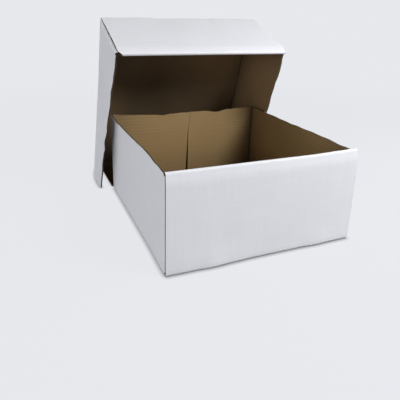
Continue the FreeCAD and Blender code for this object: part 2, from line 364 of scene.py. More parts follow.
@dataclass(frozen=True)
class BrownLiner:
    """The inside of the board: unbleached kraft paper, with the flutes showing through."""

    name: str = "brown_liner"
    light: Colour = (0.338, 0.234, 0.112)
    dark: Colour = (0.281, 0.189, 0.084)
    fleck: Colour = (0.18, 0.11, 0.053)
    fleck_share: float = 0.5
    fleck_span: tuple[float, float] = (0.66, 0.8)
    # painted shade in the bent strips
    fold: Colour = (0.07, 0.042, 0.02)
    painted_crease_share: float = 0.7
    painted_crease_fade: float = 3.0
    # painted shade in corners and closed-in places, deeper the more the surface is closed in
    painted_shade: Colour = (0.03, 0.026, 0.024)
    painted_shade_reach: float = 0.08
    painted_shade_depth: float = 0.8
    # colour of the painted shade on the left side
    dull: Colour = (0.08, 0.075, 0.06)
    left_painted_shade: float = 0.0  # how strong the painted shade on the left side is
    left_shade_span: tuple[float, float] = (-120.0, 200.0)  # where it is strongest and where it has gone
    lit_patch_at: tuple[float, float] = (-150.0, 475.0)  # the middle of a lit patch that the painted shade leaves out, on the blank
    lit_patch_reach: float = 75.0
    drift: Grain = Grain(46, 11, 3)
    drift_turn: float = 6.0  # how far the flutes stray from straight
    patches: Grain = Grain(9, 9, 2)  # where the flutes show
    patch_span: tuple[float, float] = (0.35, 0.7)
    streaks: Grain = Grain(420, 10, 4, 0.65)
    clouds: Grain = Grain(22, 22, 4, 0.6)
    fibres: Grain = Grain(1500, 420, 3, 0.6)
    flecks: Grain = Grain(900, 300, 2, 0.7)
    cockles: Grain = Grain(20, 6, 2, 0.4)
    tones: tuple[float, ...] = (0.25, 0.45, 0.23, 0.10)  # shares of clouds, streaks, flutes and fibres
    contrast: tuple[float, float] = (0.28, 0.80)  # the tones that are quite dark and quite light
    flute_depth: float = 0.10
    cockle_depth: float = 0.8
    fibre_depth: float = 0.03
    roughness: float = 0.72
    rough_swing: float = 0.12
    gloss: float = 0.25

    def material(self) -> bpy.types.Material:
        """Build the material.

        Returns:
            The material.
        """
        bench = NodeBench(self.name)
        place, x, y = bench.blank()
        grains = (
            self.drift, self.patches, self.streaks, self.clouds, self.fibres, self.flecks, self.cockles,
        )
        drift, patches, streaks, clouds, fibres, flecks, cockles = (
            bench.noise(place, grain) for grain in grains
        )
        flutes = bench.wave(x, BOARD.flute_pitch, bench.times(drift, self.drift_turn))
        flutes = bench.times(flutes, bench.span(patches, *self.patch_span))
        tone = bench.weighed(*zip((clouds, streaks, flutes, fibres), self.tones))
        colour = bench.mix(bench.span(tone, *self.contrast), rgba(self.dark), rgba(self.light))
        flecked = bench.times(bench.span(flecks, *self.fleck_span), self.fleck_share)
        colour = bench.mix(flecked, colour, rgba(self.fleck))
        # Painted shade in the creases.
        painted_crease = bench.times(bench.math("POWER", bench.value_of(CREASED), self.painted_crease_fade), self.painted_crease_share)
        colour = bench.mix(painted_crease, colour, rgba(self.fold))
        # Painted shade on the left side, darker to the left, with a lit patch left out.
        colour = bench.mix(self.left_shade_share(bench, x, y), colour, rgba(self.dull))
        # Painted shade where the liner is closed in: the corners, the creases and the lid's underside.
        colour = bench.mix(bench.openness(self.painted_shade_reach, self.painted_shade_depth), rgba(self.painted_shade), colour)
        bench.bumps((cockles, self.cockle_depth), (flutes, self.flute_depth), (fibres, self.fibre_depth))
        return bench.done(colour, bench.varied(clouds, self.roughness, self.rough_swing), self.gloss)

    def left_shade_share(self, bench: NodeBench, x: Any, y: Any) -> Any:
        """Wire the painted shade on the liner's left side, which leaves out a lit patch.

        Args:
            bench: the material's nodes.
            x: the place on the blank in millimetres, across.
            y: and along.

        Returns:
            The share of the painted shade's colour.
        """
        left = bench.minus(1.0, bench.span(x, *self.left_shade_span))
        across, along = (bench.minus(end, middle) for end, middle in zip((x, y), self.lit_patch_at))
        away = bench.math("SQRT", bench.math("MULTIPLY_ADD", across, across, bench.times(along, along)))
        return bench.times(bench.times(left, self.left_painted_shade), bench.span(away, 0.0, self.lit_patch_reach))


@dataclass(frozen=True)
class CutEdge:
    """A raw edge of the board: two liners, the medium that waves between them and the hollows."""

    name: str = "cut_edge"
    white: Colour = (0.56, 0.55, 0.55)
    brown: Colour = (0.16, 0.108, 0.060)
    medium: Colour = (0.11, 0.075, 0.043)
    # painted shade inside the flutes' hollows
    hollow_shade: Colour = (0.025, 0.017, 0.010)
    # the shares are of the board's thickness
    liner_share: float = 0.13
    liner_swing: float = 0.10
    medium_share: float = 0.10
    medium_swing: float = 0.08
    medium_height: float = 0.66
    liner_blur: float = 0.02
    hollow_blur: float = 0.05
    tear: Grain = Grain(260, 260, 3, 0.6)
    drift: Grain = Grain(45, 45)
    drift_turn: float = 5.0
    hollow_depth: float = 0.25
    tear_depth: float = 0.12
    roughness: float = 0.85
    gloss: float = 0.15

    def material(self) -> bpy.types.Material:
        """Build the material.

        Returns:
            The material.
        """
        bench = NodeBench(self.name)
        place, x, _ = bench.blank()
        depth = bench.value_of(DEPTH)
        tear = bench.noise(place, self.tear)
        shift = bench.times(bench.noise(place, self.drift), self.drift_turn)
        centre = bench.varied(bench.wave(x, BOARD.flute_pitch, shift), 0.5, self.medium_height)
        away = bench.math("ABSOLUTE", bench.minus(depth, centre))
        width = bench.varied(tear, self.medium_share, self.medium_swing)
        hollow_shade = bench.span(bench.minus(away, width), 0.0, self.hollow_blur)
        # The hollows get the painted shade colour.
        colour = bench.mix(hollow_shade, rgba(self.medium), rgba(self.hollow_shade))
        rag = bench.varied(tear, self.liner_share, self.liner_swing)
        inner = bench.minus(depth, bench.minus(1.0, rag))
        for within, liner in ((inner, self.brown), (bench.minus(rag, depth), self.white)):
            colour = bench.mix(bench.span(within, -self.liner_blur, self.liner_blur), colour, rgba(liner))
        bench.bumps((bench.minus(1.0, hollow_shade), self.hollow_depth), (tear, self.tear_depth))
        return bench.done(colour, self.roughness, self.gloss)


@dataclass(frozen=True)
class StudioPaper:
    """The pale floor: lit a little from below, with a painted contact shadow near the box, and fading into
    the surroundings far from the box.
    """

    name: str = "studio_paper"
    colour: Colour = (0.80, 0.81, 0.84)
    deep: float = 0.97  # the colour's darker tone
    deep_share: float = 0.3
    glow: Colour = (0.795, 0.81, 0.845)
    glow_share: float = 0.95
    bounce: float = 0.66  # how much of the glow reaches the box
    contact_shadow_reach: float = 0.007
    contact_shadow_depth: float = 0.9
    fade_span: tuple[float, float] = (0.45, 1.8)
    grain: Grain = Grain(500, 500, 3)
    grain_depth: float = 0.05
    tone: Grain = Grain(3, 3)
    roughness: float = 0.9

    def material(self) -> bpy.types.Material:
        """Build the material.

        Returns:
            The material.
        """
        bench = NodeBench(self.name)
        place = bench.add("ShaderNodeTexCoord").outputs["Object"]
        shade = [channel * (1 - self.glow_share) for channel in self.colour]
        deep = [channel * self.deep for channel in shade]
        share = bench.times(bench.noise(place, self.tone), self.deep_share)
        bench.bumps((bench.noise(place, self.grain), self.grain_depth))
        bench.done(bench.mix(share, rgba(shade), rgba(deep)), self.roughness, 0.0)
        # Painted contact shadow: the glow dims where the box closes the floor in.
        glow = bench.times(bench.openness(self.contact_shadow_reach, self.contact_shadow_depth), self.glow_share)
        seen = bench.add("ShaderNodeLightPath").outputs["Is Camera Ray"]
        glow = bench.times(glow, bench.math("MULTIPLY_ADD", seen, 1 - self.bounce, self.bounce))
        bench.join(glow, bench.shader.inputs["Emission Strength"])
        bench.shader.inputs["Emission Color"].default_value = rgba(self.glow)
        away = bench.add("ShaderNodeVectorMath", place, operation="LENGTH").outputs["Value"]
        bench.join(bench.minus(1.0, bench.span(away, *self.fade_span)), bench.shader.inputs["Alpha"])
        return bench.material


# ---- Folding ----


@dataclass(frozen=True)
class Crease:
    """A strip of the blank that bends: where it starts, which way it lies, and how far it turns."""

    along: Along  # the direction of the blank in which the strip follows its panel
    start: float
    outward: int  # 1 or -1
    radius: float  # outside the bend
    angle: float = 90.0
    steps: int = 6

    @property
    def pitch(self) -> float:
        """Length of one facet of the bend."""
        return 2 * self.radius * math.sin(math.radians(self.angle) / (2 * self.steps))

    @property
    def end(self) -> float:
        """Where the strip ends on the blank."""
        return self.start + self.outward * self.pitch * self.steps

    @property
    def lines(self) -> list[float]:
        """The strip's fold lines, from its start to its end."""
        return [self.start + self.outward * self.pitch * step for step in range(self.steps + 1)]


def ruled(low: float, high: float, scores: Iterable[float]) -> list[float]:
    """Divide a span at its scores, and evenly where they leave wide gaps.

    Args:
        low: where the span starts.
        high: where it ends.
        scores: lines in any order; those outside the span are left out.

    Returns:
        The lines, from low to high.
    """
    fixed = [low]
    for line in sorted(line for line in scores if low < line < high):
        if line - fixed[-1] > CLOSE:
            fixed.append(line)
    fixed.append(high)
    lines = []
    for start, end in zip(fixed, fixed[1:]):
        parts = max(1, round((end - start) / BOARD.cell))
        lines += [start + (end - start) * part / parts for part in range(1, parts + 1)]
    return lines[:-1]


def add_object(name: str, data: bpy.types.ID) -> bpy.types.Object:
    """Make an object of a mesh, light or camera and put it in the scene.

    Args:
        name: its name.
        data: what it shows.

    Returns:
        The object.
    """
    made = bpy.data.objects.new(name, data)
    bpy.context.scene.collection.objects.link(made)
    return made


def mesh_of(name: str, shape: bmesh.types.BMesh) -> bpy.types.Mesh:
    """Keep a shape as a mesh.

    Args:
        name: the mesh's name.
        shape: the shape, which is freed.

    Returns:
        The mesh.
    """
    data = bpy.data.meshes.new(name)
    shape.to_mesh(data)
    shape.free()
    return data


def facing(along: Along, sign: int = 1) -> Vector:
    """Return the direction along x or y."""
    return Vector((sign, 0, 0) if along is Along.X else (0, sign, 0))


class Sheet:
    """A piece of the blank: cut flat, folded, and then given its thickness."""

    def __init__(
        self, low: Sequence[float], high: Sequence[float], scores: dict[Along, list[float]] | None = None
    ) -> None:
        """Lay out a plain rectangle of board and score it.

        Args:
            low: its lowest x and y.
            high: its highest x and y.
            scores: the straight lines that divide it, each an x or a y; the rest is filled in evenly.
        """
        size = [top - bottom for bottom, top in zip(low, high)]
        middle = [(top + bottom) / 2 for bottom, top in zip(low, high)]
        self.mesh = bmesh.new()
        bmesh.ops.create_grid(
            self.mesh, x_segments=1, y_segments=1, size=0.5,
            matrix=Matrix.Translation((*middle, 0)) @ Matrix.Diagonal((*size, 1, 1)),
        )
        self.blank = self.mesh.verts.layers.float_vector.new(BLANK_MAP)
        self.creased = self.mesh.verts.layers.float.new(CREASED)
        for along in Along:
            for line in ruled(low[along], high[along], (scores or {}).get(along, [])):
                self.cut(facing(along) * line, facing(along))

    def cut(self, place: Vector, beyond: Vector, among: Test | None = None) -> None:
        """Divide the faces along a line.

        Args:
            place: a place on the line.
            beyond: the direction straight across it.
            among: tests a face's middle; only those faces are cut, and what lies beyond the line goes.
        """
        geom = [*self.mesh.faces, *self.mesh.edges, *self.mesh.verts]
        if among is not None:
            faces = [f for f in self.mesh.faces if among(f.calc_center_median())]
            edges = dict.fromkeys(e for f in faces for e in f.edges)
            geom = [*faces, *edges, *dict.fromkeys(v for f in faces for v in f.verts)]
        bmesh.ops.bisect_plane(
            self.mesh, geom=geom, dist=HAIR, plane_co=place, plane_no=beyond, clear_outer=among is not None
        )

    def trim(self, panels: Sequence[Rectangle], keep: bool = True) -> None:
        """Cut the waste away.

        Args:
            panels: the rectangles.
            keep: whether they stay or go.
        """
        def inside(spot: Vector) -> bool:
            """Tell whether a place is in a rectangle."""
            return any(a < spot.x < c and b < spot.y < d for a, b, c, d in panels)

        waste = [f for f in self.mesh.faces if inside(f.calc_center_median()) != keep]
        bmesh.ops.delete(self.mesh, geom=waste, context="FACES")

    def settle(self) -> None:
        """Turn the white face down and note each vertex's place on the blank."""
        bmesh.ops.remove_doubles(self.mesh, verts=self.mesh.verts[:], dist=2 * CLOSE)
        self.mesh.normal_update()
        for face in self.mesh.faces:
            if face.normal.z > 0:
                face.normal_flip()
        for vert in self.mesh.verts:
            vert[self.blank] = vert.co

    def nudge(self, shift: Callable[[Vector], Vector | None]) -> None:
        """Move vertices of the flat sheet.

        Args:
            shift: returns how far the vertex at a place moves, or None.
        """
        for vert in self.mesh.verts:
            move = shift(vert.co)
            if move is not None:
                vert.co += move

    def fold(self, crease: Crease, among: Test) -> None:
        """Bend a crease, turning what lies beyond it towards the inside.

        Args:
            crease: the crease; its strip still lies flat.
            among: tests a place on the blank; only what passes is turned.
        """
        turn = math.radians(crease.angle) / crease.steps
        axis = facing(crease.along, crease.outward).cross(Vector((0, 0, 1)))
        for step, line in reversed(list(enumerate(crease.lines))):
            angle = turn / 2 if step in (0, crease.steps) else turn
            beyond = [
                v for v in self.mesh.verts
                if (v[self.blank][crease.along] - line) * crease.outward > -CLOSE and among(v[self.blank])
            ]
            bmesh.ops.rotate(
                self.mesh, cent=facing(crease.along) * line, matrix=Matrix.Rotation(angle, 3, axis),
                verts=beyond,
            )
        middle, half = (crease.start + crease.end) / 2, abs(crease.end - crease.start) / 2
        for vert in self.mesh.verts:
            if among(vert[self.blank]):
                away = abs(vert[self.blank][crease.along] - middle) - half
                share = 1 - min(1, max(0, away) / BOARD.crease_fade)
                vert[self.creased] = max(vert[self.creased], share)

    def move(self, shift: Callable[[Vector, Vector], Vector | None]) -> None:
        """Move folded vertices.

        Args:
            shift: returns how far a vertex moves, or None, from its place on the blank and its place now.
        """
        for vert in self.mesh.verts:
            by = shift(vert[self.blank], vert.co)
            if by is not None:
                vert.co += by

    def finish(
        self, name: str, liners: "Liners", place: Matrix, blank_shift: float, ripple: float,
        calm_from: float | None = None,
    ) -> bpy.types.Object:
        """Put the sheet in its place, give it its thickness and make it an object.

        Args:
            name: the piece's name.
            liners: the board's finishes.
            place: where the sheet goes, in millimetres.
            blank_shift: added to y on the blank, so that the flutes and fibres run on between pieces.
            ripple: how far the board strays from flat.
            calm_from: y on the blank near which it doesn't stray.

        Returns:
            The piece.
        """
        chart = self.mesh.loops.layers.uv.new(BLANK_MAP)
        for face in self.mesh.faces:
            face.smooth = True
            for loop in face.loops:
                spot = loop.vert[self.blank]
                loop[chart].uv = (spot.x * MM, (spot.y + blank_shift) * MM)
        self.mesh.normal_update()
        start, full = BOARD.calm
        for vert in self.mesh.verts:
            spot = vert[self.blank] + Vector((0, blank_shift, 0))
            stray = noise.noise(spot / BOARD.bow) + BOARD.dent_share * noise.noise(spot / BOARD.dent)
            if calm_from is not None:
                stray *= eased((abs(vert[self.blank].y - calm_from) - start) / (full - start))
            vert.co += vert.normal * stray * ripple * (1 - vert[self.creased])
        bmesh.ops.transform(self.mesh, matrix=Matrix.Scale(MM, 4) @ place, verts=self.mesh.verts[:])
        count = len(self.mesh.verts)
        flat = mesh_of(f"{name}_flat", self.mesh)
        piece = add_object(name, flat)
        self.thicken(piece)
        liners.dress(piece)
        graph = bpy.context.evaluated_depsgraph_get()
        mesh = bpy.data.meshes.new_from_object(piece.evaluated_get(graph))
        piece.modifiers.clear()
        piece.data = mesh
        mesh.name = name
        bpy.data.meshes.remove(flat)
        # The brown face's vertices come after all of the white face's.
        depth = mesh.attributes.new(DEPTH, "FLOAT", "POINT")
        for index, item in enumerate(depth.data):
            item.value = float(index >= count)
        mesh.set_sharp_from_angle(angle=math.radians(BOARD.sharp))
        return piece

    def thicken(self, piece: bpy.types.Object) -> None:
        """Give a piece the board's thickness, inwards from its white face.

        Args:
            piece: the sheet's object.
        """
        board = piece.modifiers.new("board", "SOLIDIFY")
        board.thickness = BOARD.thickness * MM
        board.offset = -1
        board.use_even_offset = True
        board.material_offset = Ply.BROWN
        board.material_offset_rim = Ply.CUT


def panel(near: float, far: float, start: float, end: float) -> Rectangle:
    """Return the rectangle between two x and two y, each pair in any order."""
    return (min(near, far), min(start, end), max(near, far), max(start, end))


def held(value: float) -> float:
    """Return a value, held between 0 and 1."""
    return min(1.0, max(0.0, value))


def eased(value: float) -> float:
    """Return a value held between 0 and 1 and eased at both."""
    return held(value) ** 2 * (3 - 2 * held(value))


def through(points: Profile, place: float, course: Callable[[float], float] = eased) -> float:
    """Follow a line through points.

    Args:
        points: the points.
        place: where the line is wanted.
        course: how it goes from one point to the next: eased, or held for straight.

    Returns:
        Its height there; beyond the ends it stays level.
    """
    for (low, foot), (high, top) in zip(points, points[1:]):
        if place <= high:
            return foot + (top - foot) * course((place - low) / (high - low))
    return points[-1][1]


# ---- The box ----


@dataclass
class Liners:
    """The three finishes of the board, made once."""

    white: bpy.types.Material = field(default_factory=lambda: WhiteLiner().material())
    brown: bpy.types.Material = field(default_factory=lambda: BrownLiner().material())
    cut: bpy.types.Material = field(default_factory=lambda: CutEdge().material())

    def dress(self, piece: bpy.types.Object) -> None:
        """Put the finishes on a piece, in the order of the plies.

        Args:
            piece: the piece.
        """
        for material in (self.white, self.brown, self.cut):
            piece.data.materials.append(material)


LEVEL: Profile = ((0.0, 0.0),)
PLAIN_END: Profile = ((-3.0, 0.0), (0.0, 1.2), (14.0, 1.2), (17.0, 0.0))


@dataclass
class RolledBox:
    """A panel with two side walls and a rolled-over end wall: the tray and the lid alike.

    On the blank the panel's outer face lies at z 0, and the end wall lies at front, on the side of
    heading along y.
    """

    name: str
    half_width: float
    front: float  # y of the end wall's outer face
    heading: int
    tail: float  # y where the panel ends, at the fold
    height: float  # of the rolled rim
    edge: float  # of the side walls' raw edge
    inset: float = 0.6
    flap: float = 88.0
    tab: float = 70.0
    panel_end_gap: float = 1.2
    press_depth: float = 2.2  # how far the rim is pressed flat
    press_reach: float = 15.0  # and how far from it that starts
    flap_short: float = 14.0  # how far the flaps end short of the rim
    flap_fade: float = 72.0  # how far down from the rim that starts
    flap_root: tuple[float, float] = (3.0, 18.0)  # how far from the corner it starts and is whole
    edge_reach: float = 40.0  # how far down a wall the unevenness of its raw edge is felt
    # how far the rim's left and right ends stand in, against the way round the roll
    rim_ends: tuple[Profile, Profile] = (PLAIN_END, PLAIN_END)
    # how far the side walls' raw edges stand above the edge, against y, on the left and on the right
    side_edges: tuple[Profile, Profile] = (LEVEL, LEVEL)

    def __post_init__(self) -> None:
        """Lay out the creases."""
        radius, rim = BOARD.crease_radius, BOARD.rim_radius
        self.turn = self.half_width - radius
        self.side_creases = {side: Crease(Along.X, side * self.turn, side, radius) for side in (-1, 1)}
        self.wall = self.side_creases[1].end  # the side wall's first line on the blank
        self.side_end = self.wall + self.edge - radius
        self.outer_side = self.half_width - self.inset
        self.inner_side = self.half_width - BOARD.thickness - self.panel_end_gap
        self.slot_side = self.tab / 2 + BOARD.layer_gap
        self.front_crease = Crease(Along.Y, self.depth(radius), self.heading, radius)
        shoulder = self.height - rim
        self.rim_crease = Crease(
            Along.Y, self.front_crease.end + self.heading * (shoulder - radius), self.heading, rim, 180, 12
        )
        inner = BOARD.thickness + BOARD.layer_gap
        self.inner_end = self.rim_crease.end + self.heading * (shoulder - inner)
        self.tab_end = self.inner_end + self.heading * BOARD.thickness
        self.corner = Crease(Along.Y, self.depth(inner + radius), self.heading, radius)
        self.flap_end = self.corner.end + self.heading * (self.flap - radius)
        self.flap_edge = self.wall + self.height - rim - BOARD.layer_gap - radius
        self.roll = 3 * BOARD.thickness + 2 * BOARD.layer_gap

    def depth(self, distance: float) -> float:
        """Return the y of a distance in from the end wall's outer face."""
        return self.front - self.heading * distance

    def panels(self) -> list[Rectangle]:
        """Lay out the panels and flaps of the blank.

        Returns:
            Their rectangles.
        """
        found = [
            panel(-self.turn, self.turn, self.front_crease.start, self.tail),
            panel(-self.outer_side, self.outer_side, self.front_crease.start, self.rim_crease.end),
            panel(-self.inner_side, self.inner_side, self.rim_crease.end, self.inner_end),
            panel(-self.tab / 2, self.tab / 2, self.inner_end, self.tab_end),
        ]
        for side in (-1, 1):
            for near, far, end in self.side_panels():
                found.append(panel(side * near, side * far, self.corner.start, end))
        return found

    def side_panels(self) -> list[Triple]:
        """Return the right side wall and its flap, each by its two x and the y where it ends."""
        return [(self.turn, self.side_end, self.side_tail()), (self.wall, self.flap_edge, self.flap_end)]

    def side_tail(self) -> float:
        """Return the y where the side walls end, at the fold."""
        return self.tail

    def scores(self) -> dict[Along, list[float]]:
        """Collect every straight line of the blank that its creases and edges need.

        Returns:
            The x and the y of the lines.
        """
        sides = [
            *self.side_creases[1].lines, self.flap_edge, self.outer_side, self.inner_side, self.tab / 2,
            self.slot_side,
        ]
        ends = [
            *self.front_crease.lines, *self.rim_crease.lines, *self.corner.lines, self.inner_end,
            *self.slot_span(),
        ]
        return {Along.X: [side * line for line in sides for side in (-1, 1)], Along.Y: ends}

    def slot_span(self) -> tuple[float, float]:
        """Return the two y of the slot that takes the inner panel's tab."""
        gap = BOARD.layer_gap
        return self.depth(self.roll - BOARD.thickness - gap), self.depth(self.roll + gap)

    def cut_blank(self) -> Sheet:
        """Cut the flat blank: score it, trim it and open the tab's slot.

        Returns:
            The sheet, still flat.
        """
        ends = (self.tab_end, self.side_tail(), self.tail)
        sheet = Sheet((-self.side_end, min(ends)), (self.side_end, max(ends)), self.scores())
        sheet.trim(self.panels())
        sheet.trim([panel(-self.slot_side, self.slot_side, *self.slot_span())], keep=False)
        self.shape_edges(sheet)
        sheet.settle()
        return sheet

    def shape_edges(self, sheet: Sheet) -> None:
        """Cut the bevels at the two ends of the rolled rim, and the side walls' uneven raw edges.

        Args:
            sheet: the flat sheet.
        """
        sheet.nudge(self.rim_end)
        sheet.nudge(self.raw_edge)

    def rim_end(self, spot: Vector) -> Vector | None:
        """Find how far a place near an end of the rolled rim stands in.

        Args:
            spot: the place on the blank.

        Returns:
            How far it moves, or None.
        """
        along = (spot.y - self.rim_crease.start) * self.heading
        width = through(self.rim_ends[spot.x > 0], along, held)
        reach = 1 - (self.outer_side - abs(spot.x)) / (width + 2 * BOARD.cell)
        if width == 0 or reach < 0:
            return None
        return Vector((-math.copysign(width * reach, spot.x), 0, 0))

    def raw_edge(self, spot: Vector) -> Vector | None:
        """Find how far a place near a side wall's raw edge is lifted.

        Args:
            spot: the place on the blank.

        Returns:
            How far it moves, or None.
        """
        near = (self.rise(spot) - self.edge + self.edge_reach) / self.edge_reach
        if near < 0 or (spot.y - self.corner.start) * self.heading > 0:
            return None
        return Vector((math.copysign(1, spot.x) * self.edge_lift(spot) * eased(near), 0, 0))

    def rise(self, spot: Vector) -> float:
        """Return how high above the base's outer face a place on a side wall stands once folded."""
        return abs(spot.x) - self.wall + BOARD.crease_radius

    def edge_lift(self, spot: Vector) -> float:
        """Return how far the raw edge stands above its even height at a place on a side wall."""
        return through(self.side_edges[spot.x > 0], spot.y)

    def in_front(self, spot: Vector) -> bool:
        """Tell whether a place on the blank is on the rolled-over wall."""
        beyond = (spot.y - self.front_crease.start) * self.heading > HAIR
        return beyond and abs(spot.x) < self.half_width

    def in_side(self, side: int) -> Test:
        """Return a test for a side wall with its flaps."""
        return lambda spot: spot.x * side > self.turn + HAIR and not self.in_front(spot)

    def fold(self, sheet: Sheet) -> None:
        """Fold the flaps, the rolled-over wall and the side walls.

        Args:
            sheet: the flat sheet.
        """
        sheet.fold(self.rim_crease, self.in_front)
        sheet.fold(self.front_crease, self.in_front)
        for side in (-1, 1):
            among = self.in_side(side)
            self.fold_flaps(sheet, among)
            sheet.fold(self.side_creases[side], among)
        sheet.move(self.press)

    def press(self, spot: Vector, at: Vector) -> Vector | None:
        """Find how far a place near the rim is pressed: the roll is thin there, and its flaps end short.

        Args:
            spot: the place on the blank.
            at: where it has been folded to.

        Returns:
            How far it moves, or None.
        """
        if self.in_front(spot):
            rim = BOARD.rim_radius
            near = eased((at.z - self.height + self.press_reach) / (self.press_reach - rim))
            inner = 1 - (self.front - at.y) * self.heading / self.roll
            rise = min(self.height - at.z, rim) * self.press_depth / self.roll
            return Vector((0, -self.heading * self.press_depth * inner, rise)) * near
        if (spot.y - self.corner.start) * self.heading > HAIR:
            start, whole = self.flap_root
            drop = self.flap_short * eased((at.z - self.height) / self.flap_fade + 1)
            drop *= eased((self.half_width - abs(at.x) - start) / (whole - start))
            return Vector((0, 0, -drop))
        return None

    def fold_flaps(self, sheet: Sheet, among: Test) -> None:
        """Fold a side wall's corner flap."""
        sheet.fold(self.corner, among)


@dataclass
class Tray(RolledBox):
    """The tray, whose side walls turn the back corners as two long flaps."""

    back: float = 165.0  # y of the back flaps' outer face
    # where the slit between the back flaps lies and how wide it is, each against the height
    slit_places: Profile = ((4.2, 1.6), (105.0, 3.8), (150.0, 8.6))
    slit_widths: Profile = ((4.2, 5.6), (75.0, 2.2), (112.0, 0.5), (150.0, 0.5))
    rim_ends: tuple[Profile, Profile] = (((-1.0, 0.0), (0.0, 0.3), (14.0, 0.3), (15.0, 0.0)), PLAIN_END)
    # how far the rolled rim stands above its even height, against x
    crown: Profile = ((-155.0, 0.6), (-60.0, 0.0), (70.0, 0.0), (120.0, 1.2), (155.0, 2.0))
    crown_reach: float = 60.0
    crown_margin: float = 1.0  # how far in from the roll it is still felt
    # how far the front wall's foot stands out, against x
    foot: Profile = (
        (-150.0, 0.0), (-115.0, 0.9), (-84.0, 3.0), (-52.0, 1.6), (-20.0, 0.3), (62.0, 0.0), (92.0, 1.4),
        (120.0, 0.4), (150.0, 0.0),
    )
    foot_reach: float = 50.0
    foot_span: tuple[float, float] = (10.0, 30.0)  # how far in from the front it is whole, and has gone
    lean_in: float = 4.4  # of the top of the right front corner
    push_out: tuple[float, float] = (-1.6, -1.6)  # of the left front corner
    corner_reach: float = 110.0
    slit_reach: float = 60.0
    side_edges: tuple[Profile, Profile] = (
        (
            (-156.0, 1.2), (-130.0, 2.3), (-115.0, 1.4), (-92.0, 3.1), (-42.0, 3.0), (-27.0, 1.6),
            (-10.0, 2.0), (5.0, 0.9), (60.0, 0.1), (85.0, 0.7), (108.0, -0.2), (125.0, 0.5), (150.0, 2.2),
            (165.0, 3.0),
        ),
        (
            (-156.0, -0.4), (-138.0, -0.5), (-118.0, -1.6), (-92.0, -0.5), (-60.0, -1.2), (-45.0, -0.5),
            (-20.0, -1.3), (0.0, -0.8), (20.0, -1.8), (40.0, -1.0), (55.0, -1.3), (78.0, -0.4),
            (110.0, -0.9), (140.0, 0.3), (165.0, 1.1),
        ),
    )
    # height of the back flaps' raw edge against x
    back_edge: Profile = (
        (-150.0, 150.5), (-132.0, 148.3), (-100.0, 146.5), (-72.0, 145.0), (-58.0, 144.0), (-52.0, 142.0),
        (-36.0, 144.7), (-28.0, 144.3), (-18.0, 145.8), (-5.0, 145.0), (4.0, 146.2), (18.0, 145.5),
        (30.0, 146.5), (44.0, 145.8), (62.0, 142.7), (70.0, 142.6), (92.0, 146.8), (101.0, 146.5),
        (112.0, 147.7), (124.0, 147.0), (134.0, 148.4), (150.0, 148.6),
    )

    def __post_init__(self) -> None:
        """Lay out the creases."""
        super().__post_init__()
        self.back_crease = Crease(Along.Y, self.back - BOARD.crease_radius, 1, BOARD.crease_radius)

    def side_tail(self) -> float:
        """Return the y where the back flaps would meet in the middle."""
        return self.back_crease.end + self.turn

    def scores(self) -> dict[Along, list[float]]:
        """Collect every straight line of the blank that its creases and edges need.

        Returns:
            The x and the y of the lines.
        """
        found = super().scores()
        found[Along.Y] += [*self.back_crease.lines, self.tail]
        return found

    def side_panels(self) -> list[Triple]:
        """Lay out the right side wall, which goes on past the back crease as a flap.

        Returns:
            Its panels, each by its two x and the y where it ends.
        """
        return [
            (self.turn, self.side_end, self.back_crease.start), (self.wall, self.side_end, self.side_tail()),
            (self.wall, self.flap_edge, self.flap_end),
        ]

    def edge_lift(self, spot: Vector) -> float:
        """Find how far the raw edge stands above its even height, round the back corners too.

        Args:
            spot: a place on the blank.

        Returns:
            How far it stands above.
        """
        along = spot.y - self.back_crease.end
        if along < 0:
            return super().edge_lift(spot)
        return through(self.back_edge, math.copysign(self.turn - along, spot.x)) - self.edge

    def shape_edges(self, sheet: Sheet) -> None:
        """Cut the rim's bevels, the uneven raw edges and the two sides of the slit.

        Args:
            sheet: the flat sheet.
        """
        super().shape_edges(sheet)
        sheet.nudge(self.slit_side)

    def slit_side(self, spot: Vector) -> Vector | None:
        """Find how far a place near the slit between the back flaps is shifted.

        Args:
            spot: the place on the blank.

        Returns:
            How far it moves, or None.
        """
        reach = eased((spot.y - self.side_tail()) / self.slit_reach + 1)
        rise = self.rise(spot)
        if reach == 0 or rise < 0:
            return None
        aside = math.copysign(through(self.slit_places, rise, held), spot.x)
        return Vector((0, -(aside + through(self.slit_widths, rise, held) / 2) * reach, 0))

    def fold_flaps(self, sheet: Sheet, among: Test) -> None:
        """Fold a side wall's corner flap and its long back flap."""
        super().fold_flaps(sheet, among)
        sheet.fold(self.back_crease, among)

    def strain(self, _: Vector, at: Vector) -> Vector:
        """Find how far the two front corners stray from square, the foot from straight, the rim from level.

        Args:
            at: where a place on the blank has been folded to.

        Returns:
            How far it moves.
        """
        inwards = at.y - self.front
        front = eased(1 - inwards / self.corner_reach)
        left, right = (
            front * eased(1 - (self.half_width - side * at.x) / self.corner_reach) for side in (-1, 1)
        )
        shift = Vector((*self.push_out, 0)) * left
        shift.x -= self.lean_in * max(0.0, at.z) / self.height * right
        whole, gone = self.foot_span
        near_foot = eased(1 - at.z / self.foot_reach) * eased((gone - inwards) / (gone - whole))
        shift.y -= through(self.foot, at.x) * near_foot
        if inwards < self.roll + self.crown_margin and abs(at.x) < self.half_width - self.inset / 2:
            shift.z += through(self.crown, at.x) * eased((at.z - self.height) / self.crown_reach + 1)
        return shift

    def build(self, liners: Liners) -> bpy.types.Object:
        """Make the tray.

        Args:
            liners: the board's finishes.

        Returns:
            The piece.
        """
        sheet = self.cut_blank()
        self.fold(sheet)
        sheet.move(self.strain)
        return sheet.finish(self.name, liners, Matrix.Identity(4), 0.0, ripple=0.25, calm_from=self.tail)


